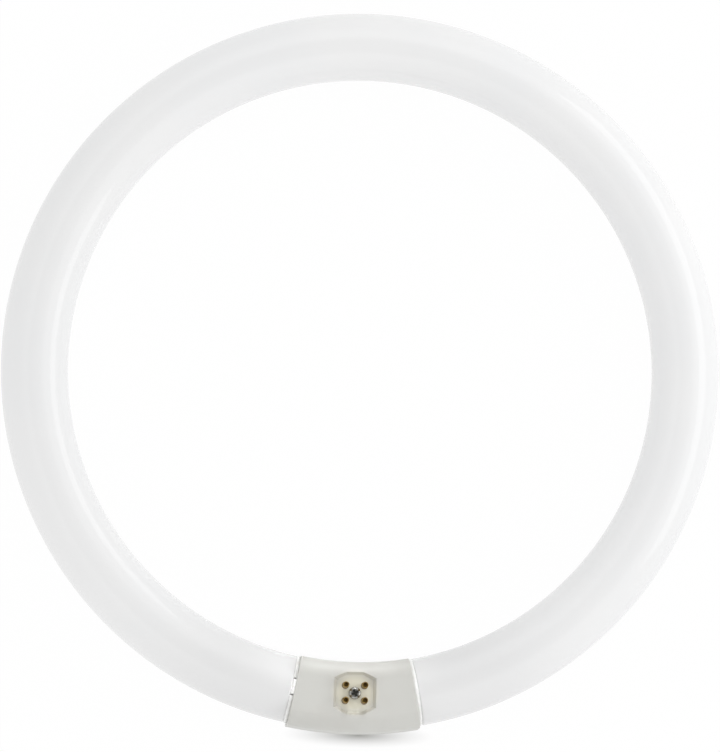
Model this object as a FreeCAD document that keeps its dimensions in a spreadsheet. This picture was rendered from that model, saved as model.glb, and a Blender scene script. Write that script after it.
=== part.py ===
"""Circular fluorescent lamp with a four-pin base cap, lying on the back of its cap.

The ring lies in the XY plane, the cap is at -Y and the contact pins point up, along +Z. The origin is the
ring's centre on the surface that the lamp lies on. Lengths are in millimetres and angles in degrees.
"""

import FreeCAD
import Part

import math
import os

import Sketcher

SIZES = (
    # Glass ring
    ("ring_outer_diameter", 299.0),
    ("tube_diameter", 28.0),
    ("neck_diameter", 26.2),
    ("neck_lead", 1.4),
    ("neck_round", 0.6),
    ("glass_gap", 25.0),
    ("glass_end_round", 4.0),
    ("flare_mouth_diameter", 16.0),
    ("flare_depth", 9.0),
    ("press_diameter", 9.0),
    ("exhaust_diameter", 4.8),
    ("exhaust_reach", 3.0),
    ("exhaust_tip_length", 1.6),
    ("exhaust_tip_diameter", 1.6),
    # Base cap
    ("cap_angle", 21.2),
    ("cap_shift", 0.6),
    ("cap_wall", 0.75),
    ("cap_corner_radius", 7.0),
    ("seat_clearance", 0.15),
    ("cavity_relief", 0.1),
    ("cavity_bevel", 4.2),
    ("mouth_wall", 2.0),
    ("mouth_round", 0.35),
    # Eight-sided pin seat in the front of the cap
    ("seat_shift", 0.9),
    ("seat_length", 17.7),
    ("seat_height", 18.0),
    ("seat_corner_length", 5.3),
    ("seat_corner_height", 2.8),
    ("seat_depth", 1.8),
    ("seat_wall_slope", 36.0),
    ("seat_floor", 2.5),
    ("block_wall", 1.5),
    ("chamber_bevel", 2.0),
    # Contact pins
    ("pin_spacing_long", 7.92),
    ("pin_spacing_short", 6.35),
    ("pin_diameter", 2.6),
    ("pin_length", 6.8),
    ("pin_bore", 1.8),
    ("pin_bore_depth", 3.0),
    ("pin_tip_round", 0.25),
    ("shank_diameter", 2.9),
    ("flange_diameter", 3.8),
    ("flange_thickness", 0.6),
    ("tail_diameter", 1.8),
    ("tail_length", 2.4),
    ("tail_bore", 1.0),
    ("tail_bore_depth", 3.0),
    ("pin_clearance", 0.03),
    # Clamp screw, its boss and its post
    ("screw_diameter", 2.6),
    ("screw_length", 20.0),
    ("screw_point", 2.0),
    ("head_diameter", 5.2),
    ("head_height", 1.9),
    ("head_round", 1.2),
    ("cross_length", 3.2),
    ("cross_width", 1.0),
    ("cross_depth", 1.1),
    ("cross_slope", 12.0),
    ("cross_turn", 25.0),
    ("screw_clearance", 0.2),
    ("thread_clearance", 0.03),
    ("boss_diameter", 5.6),
    ("post_diameter", 6.4),
    ("pilot_depth", 12.0),
    ("rib_thickness", 1.2),
    ("rib_drop", 7.0),
    ("rib_length", 18.0),
    ("rib_root", 0.3),
    # Lead wires
    ("wire_diameter", 0.8),
    ("wire_bend", 3.0),
    ("lead_spread", 3.2),
    ("lead_gap", 0.3),
    # Sealant beads at the cap's mouths
    ("bead_width", 1.2),
    ("bead_height", 0.9),
    ("bead_round", 0.6),
    ("bead_gap", 0.02),
    # How far a cut runs past the face that it opens
    ("overcut", 1.0),
)

# Lengths worked out from the driving sizes, as expressions
RING_RADIUS = "(sizes.ring_outer_diameter - sizes.tube_diameter) / 2"
TUBE_RADIUS = "sizes.tube_diameter / 2"
NECK_RADIUS = "(sizes.neck_diameter / 2)"
MOUTH_RADIUS = f"({NECK_RADIUS} + sizes.seat_clearance)"
CAVITY_HALF = f"({MOUTH_RADIUS} + sizes.cavity_relief)"
CAP_HALF = f"({CAVITY_HALF} + sizes.cap_wall)"
CAP_RADIUS = f"({RING_RADIUS} + sizes.cap_shift)"
SEAT_FLOOR_LEVEL = f"({CAP_HALF} - sizes.seat_depth)"
CHAMBER_TOP = f"({SEAT_FLOOR_LEVEL} - sizes.seat_floor)"
SEAT_CENTRE_Y = f"(sizes.seat_shift - {RING_RADIUS})"
FLANGE_BOTTOM = "(-sizes.seat_floor - sizes.flange_thickness)"
TAIL_END = f"({FLANGE_BOTTOM} - sizes.tail_length)"

# Roundings of the glass, each at most this share of the wall that it is cut from
ROUNDING_SHARE = 0.8
END_WALL = f"({NECK_RADIUS} - sizes.flare_mouth_diameter / 2)"
END_ROUNDING = f"min(sizes.glass_end_round; {ROUNDING_SHARE} * {END_WALL})"
SHOULDER_WALL = f"abs({TUBE_RADIUS} - {NECK_RADIUS})"
SHOULDER_ROUNDING = f"min(sizes.neck_round; {ROUNDING_SHARE} * {SHOULDER_WALL})"

# Angles worked out from the driving sizes, as expressions
FULL_TURN = "360 deg"
HALF_TURN = "180 deg"
CAP_ANGLE = "(sizes.cap_angle * 1 deg)"
NECK_ANGLE = f"({CAP_ANGLE} / 2 + sizes.neck_lead / ({RING_RADIUS}) * {HALF_TURN} / pi)"
GLASS_END_ANGLE = f"asin(sizes.glass_gap / 2 / ({RING_RADIUS}))"
MOUTH_WALL_ANGLE = f"(sizes.mouth_wall / ({RING_RADIUS}) * {HALF_TURN} / pi)"
BLOCK_ANGLE = f"asin((sizes.seat_length / 2 + sizes.block_wall) / ({RING_RADIUS}))"
BEAD_ANGLE = f"(sizes.bead_width / ({RING_RADIUS}) * {HALF_TURN} / pi)"
OVERCUT_ANGLE = f"(sizes.overcut / ({RING_RADIUS}) * {HALF_TURN} / pi)"

# Signs of the four pins about the seat's centre: along the tube, and towards the ring's centre
PIN_PLACES = ((-1, 1), (1, 1), (-1, -1), (1, -1))

# How closely an edge has to lie on a circle or a plane to be picked out
MATCH = 1e-4


def fill_sheet(doc):
    """Put the driving sizes in a spreadsheet, one alias a row."""
    sheet = doc.addObject("Spreadsheet::Sheet", "sizes")
    for row, (alias, value) in enumerate(SIZES, start=1):
        sheet.set(f"A{row}", alias.replace("_", " "))
        sheet.set(f"B{row}", str(value))
        sheet.setAlias(f"B{row}", alias)
    doc.recompute()
    return sheet


def add_body(doc, label):
    """Add an empty body whose label names its file, with its own origin on the ring's mid-plane."""
    body = doc.addObject("PartDesign::Body", label)
    body.Label = label
    body.setExpression("Placement.Base.z", CAP_HALF)
    return body


def add_sketch(body, name, plane, height=None, turn=None):
    """Add a sketch on an origin plane, raised along its normal or turned about its upright axis."""
    sketch = body.newObject("Sketcher::SketchObject", f"{body.Name}_{name}")
    support = next(item for item in body.Origin.OriginFeatures if item.Role == plane)
    sketch.AttachmentSupport = [(support, "")]
    sketch.MapMode = "FlatFace"
    if height is not None:
        sketch.setExpression("AttachmentOffset.Base.z", height)
    if turn is not None:
        upright = FreeCAD.Rotation(FreeCAD.Vector(0, 1, 0), 1)
        sketch.AttachmentOffset = FreeCAD.Placement(FreeCAD.Vector(), upright)
        sketch.setExpression("AttachmentOffset.Rotation.Angle", turn)
    return sketch


def turn_sketch(sketch, angle):
    """Turn a sketch in its own plane."""
    sketch.AttachmentOffset = FreeCAD.Placement(
        FreeCAD.Vector(), FreeCAD.Rotation(FreeCAD.Vector(0, 0, 1), 1)
    )
    sketch.setExpression("AttachmentOffset.Rotation.Angle", angle)


def pin_point(sketch, geometry, point, x, y):
    """Hold a point of the sketch at the two expressions, measured from the sketch's origin."""
    here = sketch.getPoint(geometry, point)
    for kind, now, expression in (("DistanceX", here.x, x), ("DistanceY", here.y, y)):
        number = sketch.addConstraint(Sketcher.Constraint(kind, -1, 1, geometry, point, now))
        sketch.setExpression(f"Constraints[{number}]", expression)


def draw_outline(sketch, corners):
    """Draw a closed outline of straight lines through corners given as pairs of expressions."""
    count = len(corners)
    first = sketch.GeometryCount
    around = [2 * math.pi * index / count for index in range(count + 1)]
    starts = [FreeCAD.Vector(math.cos(angle), math.sin(angle), 0) for angle in around]
    for index in range(count):
        sketch.addGeometry(Part.LineSegment(starts[index], starts[index + 1]), False)
    for index in range(count):
        following = first + (index + 1) % count
        sketch.addConstraint(Sketcher.Constraint("Coincident", first + index, 2, following, 1))
    for index, (x, y) in enumerate(corners):
        pin_point(sketch, first + index, 1, x, y)


def draw_circle(sketch, x, y, radius):
    """Draw a circle whose centre and radius are expressions."""
    circle = Part.Circle(FreeCAD.Vector(1, 1, 0), FreeCAD.Vector(0, 0, 1), 1)
    geometry = sketch.addGeometry(circle, False)
    number = sketch.addConstraint(Sketcher.Constraint("Radius", geometry, 1.0))
    sketch.setExpression(f"Constraints[{number}]", radius)
    pin_point(sketch, geometry, 3, x, y)


def turn_profile(body, kind, sketch, angle, axis="V_Axis", both_ways=False, backwards=False):
    """Revolve or groove a sketch about one of its own axes."""
    feature = body.newObject(f"PartDesign::{kind}", f"{sketch.Name}_{kind.lower()}")
    feature.Profile = sketch
    feature.ReferenceAxis = (sketch, [axis])
    feature.Midplane = both_ways
    feature.Reversed = backwards
    feature.setExpression("Angle", angle)
    return feature


def push_profile(body, kind, sketch, length=None, backwards=False, taper=None):
    """Pad or pocket a sketch by a length, or cut right through where no length is given."""
    feature = body.newObject(f"PartDesign::{kind}", f"{sketch.Name}_{kind.lower()}")
    feature.Profile = sketch
    feature.Reversed = backwards
    if length is None:
        feature.Type = "ThroughAll"
    else:
        feature.setExpression("Length", length)
    if taper is not None:
        feature.setExpression("TaperAngle", taper)
    return feature


def mirror_features(body, name, features):
    """Repeat features on the other side of the lamp's plane of symmetry."""
    mirror = body.newObject("PartDesign::Mirrored", f"{body.Name}_{name}")
    mirror.Originals = features
    plane = next(item for item in body.Origin.OriginFeatures if item.Role == "YZ_Plane")
    mirror.MirrorPlane = (plane, [""])
    body.Tip = mirror
    return mirror


def round_edges(body, name, base, wanted, radius):
    """Fillet the edges of a feature that a test picks out."""
    body.Document.recompute()
    edges = [f"Edge{index}" for index, edge in enumerate(base.Shape.Edges, start=1) if wanted(edge)]
    if not edges:
        raise RuntimeError(f"{body.Label} has no edge to round for {name}")
    fillet = body.newObject("PartDesign::Fillet", f"{body.Name}_{name}")
    fillet.Base = (base, edges)
    fillet.setExpression("Radius", radius)
    body.Tip = fillet
    return fillet


def is_circle(edge, radius):
    """Say whether an edge lies on a circle of this radius."""
    return isinstance(edge.Curve, Part.Circle) and abs(edge.Curve.Radius - radius) < MATCH


def on_mouth_plane(edge, half_angle):
    """Say whether an edge lies in one of the two radial planes that end the cap."""
    normal = FreeCAD.Vector(math.cos(half_angle), math.sin(half_angle), 0)
    ends = [FreeCAD.Vector(abs(point.x), point.y, 0) for point in edge.discretize(4)]
    return all(abs(point.dot(normal)) < MATCH for point in ends)


def section_sides(half_width):
    """Outer and inner side of a cap section, which sits a little further out than the tube."""
    reach = f"({half_width} + sizes.cap_shift)"
    return f"(-{CAP_RADIUS} - {reach})", f"(-{CAP_RADIUS} + {reach})"


def section_corners(half_width, bevel, low, high):
    """Corners of a cap section, bevelled on the side of its high level."""
    sign = "-1" if high.startswith("-") else "1"
    left, right = section_sides(half_width)
    side = f"{high} - {sign} * {bevel}"
    return (
        (left, low),
        (right, low),
        (right, side),
        (f"{right} - {bevel}", high),
        (f"{left} + {bevel}", high),
        (left, side),
    )


def add_cap_sleeve(body, level):
    """Half of the cap's curved sleeve, from the parting plane to a level, with rounded long corners."""
    sketch = add_sketch(body, "section", "YZ_Plane")
    left, right = section_sides(CAP_HALF)
    draw_outline(sketch, ((left, "0"), (right, "0"), (right, level), (left, level)))
    sleeve = turn_profile(body, "Revolution", sketch, CAP_ANGLE, both_ways=True)
    body.Document.recompute()
    box = sleeve.Shape.BoundBox
    height = box.ZMin if level.startswith("-") else box.ZMax

    def long_corner(edge):
        flat = edge.BoundBox.ZLength < MATCH and abs(edge.BoundBox.Center.z - height) < MATCH
        return flat and isinstance(edge.Curve, Part.Circle)

    return round_edges(body, "corners", sleeve, long_corner, "sizes.cap_corner_radius")


def add_mouth_cut(body):
    """Round opening for the glass through the wall at the right-hand mouth of the cap."""
    start = f"{CAP_ANGLE} / 2 - {MOUTH_WALL_ANGLE} - {OVERCUT_ANGLE}"
    sketch = add_sketch(body, "mouth", "YZ_Plane", turn=start)
    draw_circle(sketch, f"-({RING_RADIUS})", "0", MOUTH_RADIUS)
    return turn_profile(body, "Groove", sketch, f"{MOUTH_WALL_ANGLE} + 2 * {OVERCUT_ANGLE}")


def round_mouths(body, base, sheet):
    """Soften the outer rims at the cap's two mouths."""
    half_angle = math.radians(sheet.get("cap_angle") / 2)
    mouth_radius = sheet.get("neck_diameter") / 2 + sheet.get("seat_clearance")

    def outer_rim(edge):
        on_parting = abs(edge.BoundBox.ZMin) < MATCH and edge.BoundBox.ZLength < MATCH
        return on_mouth_plane(edge, half_angle) and not on_parting and not is_circle(edge, mouth_radius)

    return round_edges(body, "mouth_rims", base, outer_rim, "sizes.mouth_round")


def make_glass_tube(doc, sheet):
    """Bent glass ring with necked ends, each closed by a flared stem with its exhaust tip."""
    body = add_body(doc, "glass_tube")
    section = add_sketch(body, "section", "YZ_Plane", turn=NECK_ANGLE)
    draw_circle(section, f"-({RING_RADIUS})", "0", TUBE_RADIUS)
    turn_profile(body, "Revolution", section, f"{FULL_TURN} - 2 * {NECK_ANGLE}")
    neck_section = add_sketch(body, "neck_section", "YZ_Plane", turn=GLASS_END_ANGLE)
    draw_circle(neck_section, f"-({RING_RADIUS})", "0", NECK_RADIUS)
    neck = turn_profile(body, "Revolution", neck_section, f"{NECK_ANGLE} - {GLASS_END_ANGLE}")

    exhaust = "sizes.exhaust_diameter / 2"
    mouth = "sizes.flare_mouth_diameter / 2"
    flare = add_sketch(body, "flare", "XY_Plane")
    draw_outline(flare, (
        ("-sizes.overcut", exhaust),
        ("-sizes.overcut", mouth),
        ("0", mouth),
        ("sizes.flare_depth", "sizes.press_diameter / 2"),
        ("sizes.flare_depth", exhaust),
    ))
    tip = add_sketch(body, "exhaust", "XY_Plane")
    draw_outline(tip, (
        ("0", "0"),
        ("-sizes.exhaust_reach", "0"),
        ("-sizes.exhaust_reach", "sizes.exhaust_tip_diameter / 2"),
        ("sizes.exhaust_tip_length - sizes.exhaust_reach", exhaust),
        ("0", exhaust),
    ))
    for sketch in (flare, tip):
        turn_sketch(sketch, GLASS_END_ANGLE)
        sketch.setExpression("AttachmentOffset.Base.x", "sizes.glass_gap / 2")
        sketch.setExpression("AttachmentOffset.Base.y", f"-({RING_RADIUS}) * cos({GLASS_END_ANGLE})")
    cut = turn_profile(body, "Groove", flare, FULL_TURN, axis="H_Axis")
    stub = turn_profile(body, "Revolution", tip, FULL_TURN, axis="H_Axis")
    ends = mirror_features(body, "ends", [neck, cut, stub])
    tube_radius = sheet.get("tube_diameter") / 2
    neck_radius = sheet.get("neck_diameter") / 2
    ring_radius = sheet.get("ring_outer_diameter") / 2 - tube_radius
    shoulder_angle = math.radians(sheet.get("cap_angle") / 2) + sheet.get("neck_lead") / ring_radius

    def glass_end(edge):
        return is_circle(edge, neck_radius) and not on_mouth_plane(edge, shoulder_angle)

    def shoulder(edge):
        return is_circle(edge, max(tube_radius, neck_radius)) and on_mouth_plane(edge, shoulder_angle)

    rounded = round_edges(body, "end_rounds", ends, glass_end, END_ROUNDING)
    round_edges(body, "shoulders", rounded, shoulder, SHOULDER_ROUNDING)
    return body


def seat_corners():
    """Corners of the eight-sided pin seat, round from the right-hand side."""
    far_x = "sizes.seat_length / 2"
    near_x = f"{far_x} - sizes.seat_corner_length"
    far_y = "sizes.seat_height / 2"
    near_y = f"{far_y} - sizes.seat_corner_height"
    quarter = ((far_x, near_y), (near_x, far_y))
    corners = []
    for x_sign, y_sign in (("1", "1"), ("-1", "1"), ("-1", "-1"), ("1", "-1")):
        pair = quarter if x_sign == y_sign else quarter[::-1]
        for x, y in pair:
            corners.append((f"{x_sign} * ({x})", f"{SEAT_CENTRE_Y} + {y_sign} * ({y})"))
    return corners


def pin_position(along, inward):
    """Expressions for a pin's place in the ring's plane."""
    x = f"{along} * sizes.pin_spacing_long / 2"
    y = f"{SEAT_CENTRE_Y} + {inward} * sizes.pin_spacing_short / 2"
    return x, y


def make_front_shell(doc, sheet):
    """Front half of the cap: sleeve, pin block with its eight-sided seat, and the hollow screw boss."""
    body = add_body(doc, "front_shell")
    add_cap_sleeve(body, CAP_HALF)

    chamber = add_sketch(body, "chamber", "YZ_Plane")
    chamber_floor = "-sizes.overcut"
    draw_outline(chamber, section_corners(CAVITY_HALF, "sizes.chamber_bevel", chamber_floor, CHAMBER_TOP))
    inner_angle = f"{CAP_ANGLE} - 2 * {MOUTH_WALL_ANGLE}"
    turn_profile(body, "Groove", chamber, inner_angle, both_ways=True)

    bay = add_sketch(body, "bay", "YZ_Plane", turn=BLOCK_ANGLE)
    draw_outline(bay, section_corners(CAVITY_HALF, "sizes.cavity_bevel", chamber_floor, CAVITY_HALF))
    bay_cut = turn_profile(body, "Groove", bay, f"({inner_angle}) / 2 - {BLOCK_ANGLE}")
    mouth_cut = add_mouth_cut(body)
    mouths = mirror_features(body, "mouths", [bay_cut, mouth_cut])
    round_mouths(body, mouths, sheet)

    boss = add_sketch(body, "boss", "XY_Plane")
    draw_circle(boss, "0", SEAT_CENTRE_Y, "sizes.boss_diameter / 2")
    push_profile(body, "Pad", boss, CHAMBER_TOP)

    seat = add_sketch(body, "seat", "XY_Plane", height=CAP_HALF)
    draw_outline(seat, seat_corners())
    push_profile(body, "Pocket", seat, "sizes.seat_depth", taper="-sizes.seat_wall_slope * 1 deg")

    holes = add_sketch(body, "holes", "XY_Plane", height=CAP_HALF)
    for along, inward in PIN_PLACES:
        draw_circle(holes, *pin_position(along, inward), "sizes.shank_diameter / 2 + sizes.pin_clearance")
    draw_circle(holes, "0", SEAT_CENTRE_Y, "sizes.screw_diameter / 2 + sizes.screw_clearance")
    body.Tip = push_profile(body, "Pocket", holes)
    return body


def make_rear_shell(doc, sheet):
    """Rear half of the cap: sleeve, screw post and the ribs that brace it."""
    body = add_body(doc, "rear_shell")
    add_cap_sleeve(body, f"-{CAP_HALF}")

    cavity = add_sketch(body, "cavity", "YZ_Plane")
    cavity_floor = f"-{CAVITY_HALF}"
    draw_outline(cavity, section_corners(CAVITY_HALF, "sizes.cavity_bevel", "sizes.overcut", cavity_floor))
    turn_profile(body, "Groove", cavity, f"{CAP_ANGLE} - 2 * {MOUTH_WALL_ANGLE}", both_ways=True)
    mouths = mirror_features(body, "mouths", [add_mouth_cut(body)])
    round_mouths(body, mouths, sheet)

    reach = f"{CAVITY_HALF} + sizes.rib_root"
    post = add_sketch(body, "post", "XY_Plane")
    draw_circle(post, "0", SEAT_CENTRE_Y, "sizes.post_diameter / 2")
    push_profile(body, "Pad", post, reach, backwards=True)

    half_rib = "sizes.rib_thickness / 2"
    half_length = "sizes.rib_length / 2"
    along = add_sketch(body, "rib_along", "XY_Plane", height="-sizes.rib_drop")
    draw_outline(along, (
        (f"-({half_length})", f"{SEAT_CENTRE_Y} - {half_rib}"),
        (half_length, f"{SEAT_CENTRE_Y} - {half_rib}"),
        (half_length, f"{SEAT_CENTRE_Y} + {half_rib}"),
        (f"-({half_length})", f"{SEAT_CENTRE_Y} + {half_rib}"),
    ))
    push_profile(body, "Pad", along, f"{reach} - sizes.rib_drop", backwards=True)
    across = add_sketch(body, "rib_across", "YZ_Plane")
    rib_bevel = "(sizes.cavity_bevel + sizes.rib_root)"
    rib_edge = f"({CAVITY_HALF} + sizes.rib_root)"
    draw_outline(across, section_corners(rib_edge, rib_bevel, "-sizes.rib_drop", f"-{rib_edge}"))
    crossing = push_profile(body, "Pad", across, "sizes.rib_thickness")
    crossing.SideType = "Symmetric"

    pilot = add_sketch(body, "pilot", "XY_Plane")
    draw_circle(pilot, "0", SEAT_CENTRE_Y, "sizes.screw_diameter / 2 + sizes.thread_clearance")
    body.Tip = push_profile(body, "Pocket", pilot, "sizes.pilot_depth")
    return body


def make_contact_pin(doc, sheet, number, along, inward):
    """Hollow contact pin: bored tip, seated shank, flange behind the seat's floor and a bored tail."""
    body = add_body(doc, f"contact_pin_{number}")
    x, y = pin_position(along, inward)
    body.setExpression("Placement.Base.x", x)
    body.setExpression("Placement.Base.y", y)
    body.setExpression("Placement.Base.z", f"{CAP_HALF} + {SEAT_FLOOR_LEVEL}")
    profile = add_sketch(body, "profile", "XZ_Plane")
    pin_radius = "sizes.pin_diameter / 2"
    bore_radius = "sizes.pin_bore / 2"
    shank_radius = "sizes.shank_diameter / 2"
    flange_radius = "sizes.flange_diameter / 2"
    tail_radius = "sizes.tail_diameter / 2"
    tail_bore_radius = "sizes.tail_bore / 2"
    tail_bore_top = f"{TAIL_END} + sizes.tail_bore_depth"
    bore_floor = "sizes.pin_length - sizes.pin_bore_depth"
    draw_outline(profile, (
        ("0", tail_bore_top),
        (tail_bore_radius, tail_bore_top),
        (tail_bore_radius, TAIL_END),
        (tail_radius, TAIL_END),
        (tail_radius, FLANGE_BOTTOM),
        (flange_radius, FLANGE_BOTTOM),
        (flange_radius, "-sizes.seat_floor"),
        (shank_radius, "-sizes.seat_floor"),
        (shank_radius, "0"),
        (pin_radius, "0"),
        (pin_radius, "sizes.pin_length"),
        (bore_radius, "sizes.pin_length"),
        (bore_radius, bore_floor),
        ("0", bore_floor),
    ))
    turned = turn_profile(body, "Revolution", profile, FULL_TURN)
    tip_height = sheet.get("pin_length")
    tip_radius = sheet.get("pin_diameter") / 2

    def tip_edge(edge):
        return is_circle(edge, tip_radius) and abs(edge.BoundBox.ZMin - tip_height) < MATCH

    round_edges(body, "tip", turned, tip_edge, "sizes.pin_tip_round")
    return body


def make_clamp_screw(doc, sheet):
    """Pan-head screw with a cross recess, which holds the cap's two halves together."""
    body = add_body(doc, "clamp_screw")
    body.setExpression("Placement.Base.y", SEAT_CENTRE_Y)
    body.setExpression("Placement.Base.z", f"{CAP_HALF} + {SEAT_FLOOR_LEVEL}")
    profile = add_sketch(body, "profile", "XZ_Plane")
    shank_radius = "sizes.screw_diameter / 2"
    head_radius = "sizes.head_diameter / 2"
    draw_outline(profile, (
        ("0", "-sizes.screw_length"),
        (shank_radius, "sizes.screw_point - sizes.screw_length"),
        (shank_radius, "0"),
        (head_radius, "0"),
        (head_radius, "sizes.head_height"),
        ("0", "sizes.head_height"),
    ))
    turned = turn_profile(body, "Revolution", profile, FULL_TURN)
    top = sheet.get("head_height")
    radius = sheet.get("head_diameter") / 2

    def head_rim(edge):
        return is_circle(edge, radius) and abs(edge.BoundBox.ZMin - top) < MATCH

    round_edges(body, "dome", turned, head_rim, "sizes.head_round")
    cross = add_sketch(body, "cross", "XY_Plane", height="sizes.head_height")
    turn_sketch(cross, "sizes.cross_turn * 1 deg")
    arm = "sizes.cross_length / 2"
    half = "sizes.cross_width / 2"
    draw_outline(cross, (
        (arm, f"-{half}"), (arm, half), (half, half), (half, arm),
        (f"-{half}", arm), (f"-{half}", half), (f"-{arm}", half), (f"-{arm}", f"-{half}"),
        (f"-{half}", f"-{half}"), (f"-{half}", f"-{arm}"), (half, f"-{arm}"), (half, f"-{half}"),
    ))
    body.Tip = push_profile(
        body, "Pocket", cross, "sizes.cross_depth", taper="-sizes.cross_slope * 1 deg"
    )
    return body


def make_lead_wire(doc, sheet, number, along, inward):
    """Lead wire: up into the tail of its pin, round one bend and along into the stem's flare."""
    body = add_body(doc, f"lead_wire_{number}")
    pin_x, pin_y = pin_position(along, inward)
    body.setExpression("Placement.Base.x", pin_x)
    body.setExpression("Placement.Base.y", pin_y)
    press_x = f"(sizes.glass_gap / 2 + sizes.flare_depth * cos({GLASS_END_ANGLE}))"
    press_y = f"(sizes.flare_depth * sin({GLASS_END_ANGLE}) - ({RING_RADIUS}) * cos({GLASS_END_ANGLE}))"
    run_x = f"({press_x} - sizes.pin_spacing_long / 2)"
    run_y = f"({press_y} - ({pin_y}))"
    run = f"(hypot({run_x}; {run_y}) - sizes.lead_gap)"
    heading = f"atan2({run_y}; {run_x})"
    body.Placement = FreeCAD.Placement(FreeCAD.Vector(), FreeCAD.Rotation(FreeCAD.Vector(0, 0, 1), 1))
    body.setExpression("Placement.Rotation.Angle", heading if along > 0 else f"{HALF_TURN} - {heading}")

    low = f"({-inward} * sizes.lead_spread)"
    top = f"({SEAT_FLOOR_LEVEL} + {TAIL_END} + sizes.tail_bore_depth)"
    bend = sheet.get("wire_bend")
    low_now = -inward * sheet.get("lead_spread")
    centre = FreeCAD.Vector(bend, low_now + bend, 0)
    path = add_sketch(body, "path", "XZ_Plane")
    riser_end = FreeCAD.Vector(0, low_now + bend, 0)
    run_start = FreeCAD.Vector(bend, low_now, 0)
    riser = path.addGeometry(Part.LineSegment(FreeCAD.Vector(0, low_now + 2 * bend, 0), riser_end), False)
    arc = path.addGeometry(
        Part.ArcOfCircle(Part.Circle(centre, FreeCAD.Vector(0, 0, 1), bend), math.pi, 1.5 * math.pi), False
    )
    leg = path.addGeometry(Part.LineSegment(run_start, run_start + FreeCAD.Vector(bend, 0, 0)), False)
    path.addConstraint(Sketcher.Constraint("Coincident", riser, 2, arc, 1))
    path.addConstraint(Sketcher.Constraint("Coincident", arc, 2, leg, 1))
    pin_point(path, riser, 1, "0", top)
    pin_point(path, riser, 2, "0", f"{low} + sizes.wire_bend")
    pin_point(path, leg, 1, "sizes.wire_bend", low)
    pin_point(path, leg, 2, run, low)
    rounding = path.addConstraint(Sketcher.Constraint("Radius", arc, bend))
    path.setExpression(f"Constraints[{rounding}]", "sizes.wire_bend")
    profile = add_sketch(body, "section", "XY_Plane", height=top)
    draw_circle(profile, "0", "0", "sizes.wire_diameter / 2")
    wire = body.newObject("PartDesign::AdditivePipe", f"{body.Name}_sweep")
    wire.Profile = profile
    wire.Spine = path
    body.Tip = wire
    return body


def make_sealant(doc, sheet, side, label):
    """Bead of white sealant round the glass's neck, against the mouth of the cap."""
    body = add_body(doc, label)
    section = add_sketch(body, "section", "YZ_Plane", turn=f"{side} * {CAP_ANGLE} / 2")
    inner = f"{NECK_RADIUS} + sizes.bead_gap"
    draw_circle(section, f"-({RING_RADIUS})", "0", inner)
    draw_circle(section, f"-({RING_RADIUS})", "0", f"{inner} + sizes.bead_height")
    bead = turn_profile(body, "Revolution", section, BEAD_ANGLE, backwards=side < 0)
    outer_radius = sheet.get("neck_diameter") / 2 + sheet.get("bead_gap") + sheet.get("bead_height")
    half_angle = math.radians(sheet.get("cap_angle") / 2)

    def far_rim(edge):
        return is_circle(edge, outer_radius) and not on_mouth_plane(edge, half_angle)

    round_edges(body, "lip", bead, far_rim, "sizes.bead_round")
    return body


def build(doc):
    """Build every piece of the lamp and return the bodies."""
    sheet = fill_sheet(doc)
    bodies = [make_glass_tube(doc, sheet)]
    bodies.append(make_front_shell(doc, sheet))
    bodies.append(make_rear_shell(doc, sheet))
    bodies.append(make_clamp_screw(doc, sheet))
    for number, (along, inward) in enumerate(PIN_PLACES, start=1):
        bodies.append(make_contact_pin(doc, sheet, number, along, inward))
        bodies.append(make_lead_wire(doc, sheet, number, along, inward))
    bodies.append(make_sealant(doc, sheet, -1, "sealant_left"))
    bodies.append(make_sealant(doc, sheet, 1, "sealant_right"))
    doc.recompute()
    return bodies


def check(doc, bodies):
    """Stop if any object failed, or any piece isn't one valid solid."""
    for item in doc.Objects:
        if "Invalid" in item.State or "Error" in item.State:
            raise RuntimeError(f"{item.Label} failed: {item.State}")
    for body in bodies:
        shape = body.Shape
        if shape.isNull() or not shape.isValid() or len(shape.Solids) != 1:
            raise RuntimeError(f"{body.Label} isn't one valid solid")
        print(f"{body.Label}: {shape.Volume:.2f} mm3, {shape.BoundBox}")


def main():
    doc = FreeCAD.newDocument("circular_lamp")
    bodies = build(doc)
    check(doc, bodies)
    os.makedirs("parts", exist_ok=True)
    for body in bodies:
        body.Shape.exportStep(f"parts/{body.Label}.step")


main()
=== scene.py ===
"""Ring lamp look: coated glass, moulded base cap, brass pins, screw, sealant and a white studio.

Lengths are metres in the frame of the solids: the ring lies in XY, the cap is at -Y and the pins point up.
"""

import math

import bmesh
import bpy
from bpy.props import FloatProperty, FloatVectorProperty, IntProperty, PointerProperty
from bpy.types import Operator, Panel, PropertyGroup
from mathutils import Matrix, Vector


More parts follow.
